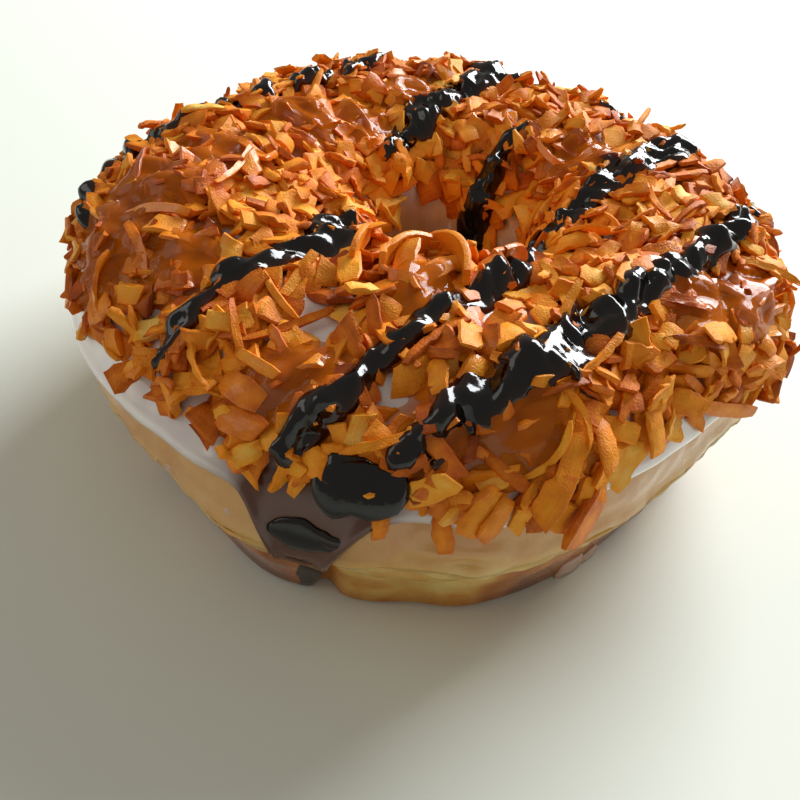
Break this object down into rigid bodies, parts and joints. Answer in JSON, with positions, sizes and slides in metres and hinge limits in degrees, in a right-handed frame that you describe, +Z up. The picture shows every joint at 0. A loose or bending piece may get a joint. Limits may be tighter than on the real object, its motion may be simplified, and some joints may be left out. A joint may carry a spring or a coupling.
{
  "type": "ring doughnut",
  "caption": "Ring doughnut of raised dough with a coat of white icing, toasted coconut flakes, caramel and dark chocolate drizzle.",
  "frame": {"origin": "middle of the bounding box in plan, on the surface that the doughnut rests on", "axes": "+Z up; the side that the picture shows in front faces -Y, and its right side is +X"},
  "size_m": [0.0979, 0.1014, 0.0402],
  "materials": {
    "fried_dough": null,
    "iced_coconut": null
  },
  "bodies": {
    "root": {"dough": "fried_dough", "iced_topping": "iced_coconut"}
  },
  "joints": []
}
